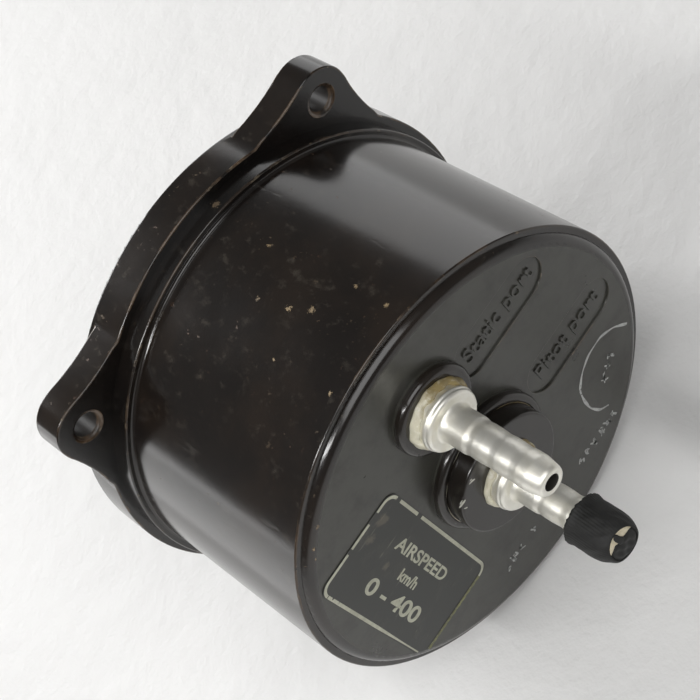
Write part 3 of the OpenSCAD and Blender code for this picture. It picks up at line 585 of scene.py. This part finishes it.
# sleeve: the outer profile wanders with the angle, carries fine lengthwise ribs and frays at its mouth;
# towards its end the upper side sags and widens
def capSleeve():
    outer = softLine(cap["outer"], 0.12, 5, False)
    line = np.vstack([outer, np.array(cap["inner"])])
    radius, along = line[:, :1], line[:, 1:]
    angle = np.linspace(0, 2 * np.pi, cap["turns"], endpoint=False)[None, :]
    isOuter = (np.arange(len(line)) < len(outer))[:, None]
    share = np.clip((along - cap["mouth"]) / (cap["end"] - cap["mouth"]), 0, 1)
    wander = 0.9 * turnNoise(angle, (3, 5, 8), 2)
    ribs = cap["ribDepth"] * np.sin(cap["ribs"] * (angle + 0.12 * share) + wander) * (1 - 0.7 * share)
    middle = np.sin(np.pi * np.clip(share * 1.1, 0, 1)) ** 2
    dents = cap["dent"] * turnNoise(angle + 0.3 * share, (2, 3, 5), 4) * middle
    folds = cap["fold"] * turnNoise(angle - 1.4 * share, (6, 9, 13), 9) * share ** 2 * (1 - share) * 5
    live = isOuter * np.clip((radius - 2.75) / 0.8, 0, 1)
    radius = radius + live * np.minimum(ribs + dents + folds, cap["bulge"])
    fray = cap["fray"] * (0.4 + 0.6 * turnNoise(angle, (2, 3, 8, 19, 31), 6)) * np.clip(1 - share * 8, 0, 1)
    along = along + fray * (along < cap["mouth"] + 2)
    endward = np.clip((share - cap["sagFrom"]) / (1 - cap["sagFrom"]), 0, 1) ** 2
    endward = endward * np.maximum(np.sin(angle), 0)
    along = along - cap["sag"] * endward
    radius = radius + cap["flare"] * endward
    points = np.stack([radius * np.cos(angle), along + 0 * radius, radius * np.sin(angle)], -1)
    mesh = gridMesh("dustCapSleeve", points, True, True)
    return addPiece("dustCapSleeve", mesh, "capRubber", "cap", ["dust_cap"])


# flap of the cap over most of the stopper: two sheets that meet along a disc's edge and a wavy upper edge
def capFlap():
    share = np.linspace(0, 1, 30)[:, None]
    side = np.linspace(-1, 1, 41)[None, :]
    upper = cap["flapEdge"] + 0.2 * side + 0.12 * np.sin(2.6 * side + 0.6) - 0.1 * np.sin(7 * side)
    z = -cap["flapReach"] + (upper + cap["flapReach"]) * share
    x = side * np.sqrt(np.maximum(cap["flapReach"] ** 2 - z ** 2, 0))
    crown = (1 - side ** 6) * (1 - (2 * share - 1) ** 8)
    creases = 0.10 * np.sin(2.1 * x + 1.7 * z) + 0.07 * np.sin(3.4 * x - 2.3 * z + 1.0)
    top = cap["flapFoot"] + crown * (cap["flapRise"] - 0.1 + creases)
    foot = cap["flapFoot"] + 0 * top
    sheets = [np.stack([x, level, z], -1) for level in (top, foot)]
    points = np.concatenate([sheets[0], sheets[1][::-1]], 0)
    mesh = gridMesh("dustCapFlap", points, True)
    return addPiece("dustCapFlap", mesh, "capRubber", "cap")


# strip from the flap to the sleeve's lip: a rounded bar that narrows and bows along its length
def capStrip():
    run = np.linspace(-1, 1, 25)[:, None]
    turn = np.linspace(0, 2 * np.pi, 20, endpoint=False)[None, :]
    ends = np.sqrt(np.clip(1 - np.abs(run) ** 8, 0, 1))
    wide = (cap["strip"] / 2) * (1.0 - 0.2 * run) * ends
    x = cap["stripAt"] + wide * np.cos(turn) + 0.12 * np.sin(3 * run)
    y = cap["stripLevel"] - cap["stripDrop"] * ((run + 1) / 2) ** 2 + 0.2 * ends * np.sin(turn)
    z = cap["stripFrom"] + (cap["stripTo"] - cap["stripFrom"]) * (run + 1) / 2 + 0 * turn
    points = np.stack([x, y, z], -1)
    mesh = gridMesh("dustCapStrip", points, False, True)
    return addPiece("dustCapStrip", mesh, "capRubber", "cap")


# stopper: a low crumpled dome in the cap's end, its upper side pushed outwards
def stopperDome():
    share = np.linspace(0, 1, 18)[:, None]
    angle = np.linspace(0, 2 * np.pi, 72, endpoint=False)[None, :]
    upward = np.maximum(np.sin(angle), 0)
    radius = (cap["stopper"] + cap["stopperLean"] * upward) * np.sin(share * np.pi / 2)
    lumps = 0.07 * turnNoise(angle + 2 * share, (3, 5, 8, 13), 5) * np.sin(share * np.pi)
    height = radius * np.sin(angle)
    top = cap["stopperTop"] + 0.22 * np.clip(height - 1.0, 0, 1) + 0.5 * lumps
    top = top - cap["stopperSlope"] * np.clip(height - 2.2, 0, 1.2)
    foot = cap["stopperFoot"] + 0 * radius
    level = np.concatenate([top, foot[::-1]], 0)
    radius = np.concatenate([radius, radius[::-1]], 0)
    points = np.stack([radius * np.cos(angle), level, radius * np.sin(angle)], -1)
    mesh = gridMesh("capStopper", points, False, True)
    return addPiece("capStopper", mesh, "cream", "cap", ["cap_stopper"])


capSleeve()
capFlap()
capStrip()
stopperDome()
print("nozzles and cap made")


# words as a mesh: centred text pressed to a width and height, then laid on a plane given by two directions
def words(name, body, finish, letters, height, width, place, across, upward, thick,
          track=1.0, bold=0.0):
    curve = bpy.data.curves.new(name, "FONT")
    curve.body = letters
    curve.offset = bold
    curve.extrude = thick / 2
    curve.space_character = track
    text = bpy.data.objects.new(name + "Text", curve)
    scene.collection.objects.link(text)
    bpy.context.view_layer.update()
    mesh = bpy.data.meshes.new_from_object(text.evaluated_get(bpy.context.evaluated_depsgraph_get()))
    mesh.name = name
    bpy.data.objects.remove(text)
    count = len(mesh.vertices)
    flat = np.zeros(count * 3)
    mesh.vertices.foreach_get("co", flat)
    flat = flat.reshape(-1, 3)
    low, high = flat[:, :2].min(0), flat[:, :2].max(0)
    sizes = high - low
    tall = height / sizes[1]
    wide = width / sizes[0] if width else tall
    u = (flat[:, 0] - (low[0] + high[0]) / 2) * wide
    v = (flat[:, 1] - (low[1] + high[1]) / 2) * tall
    across, upward = np.array(across, float), np.array(upward, float)
    out = np.cross(across, upward)
    points = np.array(place, float) + u[:, None] * across + v[:, None] * upward + flat[:, 2:] * out
    mesh.vertices.foreach_set("co", (points * mm).ravel())
    mesh.materials.clear()
    mesh.update()
    return addPiece(name, mesh, finish, body)


# flat ribbon of a given width along a path on a plane y = level, looking towards +Y or -Y
def ribbon(path, width, level, facing):
    path = np.array(path, float)
    ahead = np.gradient(path, axis=0)
    ahead = ahead / np.maximum(np.linalg.norm(ahead, axis=1, keepdims=True), 1e-9)
    side = np.stack([-ahead[:, 1], ahead[:, 0]], 1) * (np.array(width).reshape(-1, 1) / 2)
    left, right = path + side, path - side
    if facing > 0:
        left, right = right, left
    grid = np.stack([left, right], 1)
    return np.stack([grid[..., 0], np.full(grid.shape[:2], level), grid[..., 1]], -1)


# several ribbons as one mesh
def ribbonPiece(name, strips, finish, body="case"):
    points = []
    quads = []
    for strip in strips:
        start = sum(len(p) for p in points)
        index = start + np.arange(strip.shape[0] * 2).reshape(-1, 2)
        quads.append(np.stack([index[:-1, 0], index[1:, 0], index[1:, 1], index[:-1, 1]], 1))
        points.append(strip.reshape(-1, 3))
    mesh = bpy.data.meshes.new(name)
    mesh.from_pydata((np.vstack(points) * mm).tolist(), [], np.vstack(quads).tolist())
    mesh.update()
    return addPiece(name, mesh, finish, body)


label = {
    "low": (13.95, -20.2), "high": (32.4, 17.3), "corner": 2.0, "line": 0.6, "level": 44.88, "edge": 37.0,
    "gaps": [((18.65, 17.3), 1.0), ((24.75, 17.3), 0.4), ((13.95, 14.4), 0.45), ((13.95, 6.7), 0.6)],
    "thinFrom": -2.0, "thinTo": -12.0, "thin": 0.55, "stainWide": 1.1, "stainLift": 0.02, "wordsAt": -1.6,
    "lines": [("labelName", "AIRSPEED", 2.4, 18.4, 19.3, 0.024),
              ("labelUnit", "km/h", 2.2, 6.2, 23.2, 0.03),
              ("labelRange", "0 - 400", 3.1, 19.0, 27.4, 0.026)],
}


# printed border: a rounded rectangle walked round once, broken where it is worn away or runs off the
# disc and worn thin along its lower outer side
def labelBorder():
    (x0, z0), (x1, z1) = label["low"], label["high"]
    corner = label["corner"]
    quarter = np.linspace(0, np.pi / 2, 9)
    centres = [(x1 - corner, z1 - corner), (x0 + corner, z1 - corner), (x0 + corner, z0 + corner),
               (x1 - corner, z0 + corner)]
    outline = np.vstack([np.stack([cx + corner * np.cos(quarter + k * np.pi / 2),
                                   cz + corner * np.sin(quarter + k * np.pi / 2)], 1)
                         for k, (cx, cz) in enumerate(centres)])
    path = softLine(outline, 0.2, 0)
    keep = np.hypot(path[:, 0], path[:, 1]) < label["edge"]
    for place, half in label["gaps"]:
        keep &= np.hypot(*(path - np.array(place)).T) > half
    fade = np.clip((label["thinFrom"] - path[:, 1]) / (label["thinFrom"] - label["thinTo"]), 0, 1)
    width = label["line"] * (1 - label["thin"] * fade * (path[:, 0] > x1 - 0.3))
    cuts = np.flatnonzero(np.diff(keep.astype(int))) + 1
    runs = [run for run in np.split(np.arange(len(path)), cuts) if keep[run[0]] and len(run) > 3]
    strips = [ribbon(path[run], width[run], label["level"], 1) for run in runs]
    return ribbonPiece("labelBorder", strips, "print", "case")


# the border's lower side, stained olive and more worn
def labelStain():
    (x0, z0), (x1, z1) = label["low"], label["high"]
    path = softLine([(x0 + label["corner"], z0), (x1, z0)], 0.2, 0, False)
    path = path[np.hypot(path[:, 0], path[:, 1]) < label["edge"]]
    width = label["stainWide"] * label["line"] * (1 + 0.25 * np.sin(np.arange(len(path)) * 0.9))
    strip = ribbon(path, width, label["level"] + label["stainLift"], 1)
    return ribbonPiece("labelStain", [strip], "stain", "case")


labelBorder()
labelStain()
down, left = (0, 0, -1), (-1, 0, 0)
for name, letters, tall, wide, x, bold in label["lines"]:
    place = (x, label["level"], label["wordsAt"])
    words(name, "case", "print", letters, tall, wide, place, down, left, 0.0, bold=bold)

# raised words in the two sunk fields: letters, width and the middle of each
portWords = {
    "tall": 4.4, "level": 44.44, "thick": 0.3, "track": 1.05,
    "fields": [("staticWords", "Static port", 17.2, -17.8, 20.3),
               ("pitotWords", "Pitot port", 16.6, -24.2, 0.2)],
}
for name, letters, wide, x, z in portWords["fields"]:
    place = (x, portWords["level"], z)
    words(name, "case", "case", letters, portWords["tall"], wide, place, left, (0, 0, 1),
          portWords["thick"], portWords["track"])

marks = {
    "level": 44.73, "row": -27.4, "rowFrom": 13.6, "rowTo": -21.4, "rowCount": 18, "plugTop": 50.13,
    "signWide": 1.7, "signTall": 2.5, "strokeThin": 0.26, "strokeWide": 0.46, "skip": 0.08,
    "loop": [(-33.5, -13.3), (-31.2, -10.2), (-28.3, -8.4), (-24.6, -8.6), (-21.7, -10.3), (-19.4, -13.0),
             (-18.8, -15.9), (-18.7, -19.5), (-19.8, -22.8), (-21.6, -24.2)],
    "inside": [(-27.6, -15.2), (-25.9, -16.4), (-24.2, -17.4)],
    "chips": [((9.5, 6.9), (8.6, 6.8), (7.9, 6.75), 0.62), ((5.65, 8.5), (5.0, 8.35), (4.45, 7.95), 0.42),
              ((9.1, 5.6), (8.8, 5.2), (8.6, 4.9), 0.3), ((9.0, 7.3), (8.5, 7.45), (8.2, 7.4), 0.3),
              ((5.2, 8.9), (4.9, 8.8), (4.7, 8.75), 0.24)],
}


# one worn sign: two or three bent strokes between random places in a small box
def signStrokes(rng, x, z):
    strips = []
    for _ in range(rng.integers(2, 4)):
        bends = np.stack([x + marks["signWide"] * rng.uniform(-0.5, 0.5, 3),
                          z + marks["signTall"] * rng.uniform(-0.5, 0.5, 3)], 1)
        line = softLine(bends, 0.12, 4, False)
        broad = 0.6 + 0.4 * np.sin(np.linspace(0.3, 2.8, len(line)))
        width = rng.uniform(marks["strokeThin"], marks["strokeWide"]) * broad
        strips.append(ribbon(line, width, marks["level"], 1))
    return strips


# worn rubbed marks on the back: an open loop, a few signs inside it and a row of signs along the lower edge
def wornMarks():
    rng = np.random.default_rng(21)
    loop = softLine(marks["loop"], 0.25, 12, False)
    strips = [ribbon(loop, 0.46 + 0.16 * np.sin(np.arange(len(loop)) * 0.31), marks["level"], 1)]
    for x, z in marks["inside"]:
        strips += signStrokes(rng, x, z)
    for x in np.linspace(marks["rowFrom"], marks["rowTo"], marks["rowCount"]):
        if rng.uniform() > marks["skip"]:
            strips += signStrokes(rng, x, marks["row"] + rng.uniform(-0.25, 0.25))
    return ribbonPiece("wornBackMarks", strips, "scratch", "case")


# pale chips on the plug's top: short strokes, broad in the middle
def plugChips():
    strips = []
    for start, middle, end, wide in marks["chips"]:
        line = softLine([start, middle, end], 0.1, 2, False)
        width = wide * (0.35 + 0.65 * np.sin(np.linspace(0.2, np.pi - 0.2, len(line))))
        strips.append(ribbon(line, width, marks["plugTop"], 1))
    return ribbonPiece("plugChips", strips, "chip", "case")


wornMarks()
plugChips()
print("label, words and marks made")

dial = {
    "level": 0.17, "zero": 240.0, "sweep": 300.0, "top": 400, "every": 10, "numbered": 50,
    "rim": 34.6, "number": 23.7, "digits": 4.0, "unit": 3.0, "unitAt": 12.0,
    "longStroke": (5.4, 0.9), "shortStroke": (3.0, 0.45),
}


# direction of a value on the dial, as a pair along X and Z
def dialWay(value):
    angle = np.radians(dial["zero"] - dial["sweep"] * value / dial["top"])
    return np.array([np.cos(angle), np.sin(angle)])


# scale strokes: short radial ribbons at even values, longer at the numbered ones
def dialScale():
    strips = []
    for value in range(0, dial["top"] + 1, dial["every"]):
        reach, wide = dial["shortStroke"] if value % dial["numbered"] else dial["longStroke"]
        path = np.linspace(dial["rim"] - reach, dial["rim"], 4)[:, None] * dialWay(value)
        strips.append(ribbon(path, wide, dial["level"], -1))
    return ribbonPiece("dialScale", strips, "whitePaint", "case")


def dialWords(name, letters, tall, x, z):
    place = (x, dial["level"], z)
    words(name, "case", "whitePaint", letters, tall, None, place, (1, 0, 0), (0, 0, 1), 0.0)


dialScale()
for value in range(0, dial["top"] + 1, dial["numbered"]):
    dialWords("dialNumber%d" % value, str(value), dial["digits"], *(dial["number"] * dialWay(value)))
dialWords("dialUnit", "km/h", dial["unit"], 0, dial["unitAt"])
print("dial printed")

view = {
    "place": (21.18, 181.92, 229.29), "right": (-0.5729, 0.6837, -0.4519), "up": (-0.8151, -0.4177, 0.4014),
    "lens": 84.53, "sensor": 36.0, "nearest": 10.0,
}


def makeCamera():
    camera = bpy.data.objects.new("photoCamera", bpy.data.cameras.new("photoCamera"))
    scene.collection.objects.link(camera)
    right = Vector(view["right"]).normalized()
    up = Vector(view["up"])
    up = (up - right * up.dot(right)).normalized()
    turn = Matrix((right, up, right.cross(up))).transposed()
    camera.matrix_world = Matrix.Translation(Vector(view["place"]) * mm) @ turn.to_4x4()
    camera.data.lens = view["lens"]
    camera.data.sensor_width = view["sensor"]
    camera.data.clip_start = view["nearest"] * mm
    scene.camera = camera


makeCamera()

floor = {
    "rise": 3.0 / 43.4, "at": -43.02, "half": 3000.0,
    "pale": tone(0.80, 0.795, 0.785), "cloud": tone(0.76, 0.755, 0.745),
}


# floor under the part as it lies: touches the rim at y = 0 and the body's back edge
def makeFloor():
    ends = np.linspace(-floor["half"], floor["half"], 2)
    x, y = np.meshgrid(ends, ends, indexing="ij")
    points = np.stack([x, y, floor["at"] + floor["rise"] * y], -1)
    mesh = gridMesh("floor", points, closed=False)
    material, at = startFinish("paleFloor")
    cloud = grain(at, 9, 5, 0.6).rise(0.3, 0.7)
    base = mixTones(cloud, floor["pale"], floor["cloud"])
    height = grain(at, 130, 5, 0.6) + 0.5 * grain(at, 35, 3, 0.5)
    mesh.materials.append(endFinish(material, at, {"Base Color": base, "Roughness": 0.6}, height, 0.0006))
    plane = bpy.data.objects.new("floor", mesh)
    scene.collection.objects.link(plane)


makeFloor()

lamps = {
    "window": {"place": (140, -860, 400), "size": (400, 400), "power": 6.2},
    "key": {"place": (262, 70, 330), "size": (380, 36), "power": 0.95},
    "card": {"place": (-430, -370, 110), "size": (520, 360), "power": 0.88},
    "sill": {"place": (560, -450, -70), "size": (800, 80), "power": 0.36},
    "apron": {"place": (330, -235, -42), "size": (450, 450), "power": 0.45, "aim": (330, -235, 500)},
    "fill": {"place": (0, 420, 560), "size": (500, 500), "power": 2.1},
}


def makeLamps():
    for name, lamp in lamps.items():
        light = bpy.data.lights.new(name, "AREA")
        light.shape = "RECTANGLE"
        light.size, light.size_y = (side * mm for side in lamp["size"])
        light.energy = lamp["power"]
        holder = bpy.data.objects.new(name, light)
        scene.collection.objects.link(holder)
        holder.visible_camera = False
        place = Vector(lamp["place"]) * mm
        aim = Vector(lamp.get("aim", (0, 20, 0))) * mm - place
        holder.matrix_world = Matrix.Translation(place) @ aim.to_track_quat("-Z", "Y").to_matrix().to_4x4()


makeLamps()

sky = {"low": 0.14, "high": 0.10}


# surroundings: a little lighter near the horizon than overhead
def makeWorld():
    world = bpy.data.worlds.new("studio")
    scene.world = world
    world.use_nodes = True
    world.node_tree.nodes.clear()
    at = Wire(world.node_tree).node("TexCoord", out="Generated")
    height = at.node("SeparateXYZ", sockets={"Vector": at}, out=2)
    climb = height.rise(0.1, 0.85)
    level = sky["low"] + climb * (sky["high"] - sky["low"])
    shade = at.node("Background", sockets={"Color": tone(1.0, 0.995, 0.98), "Strength": level})
    at.node("OutputWorld", sockets={"Surface": shade})


makeWorld()
print("stage, lamps and camera set")
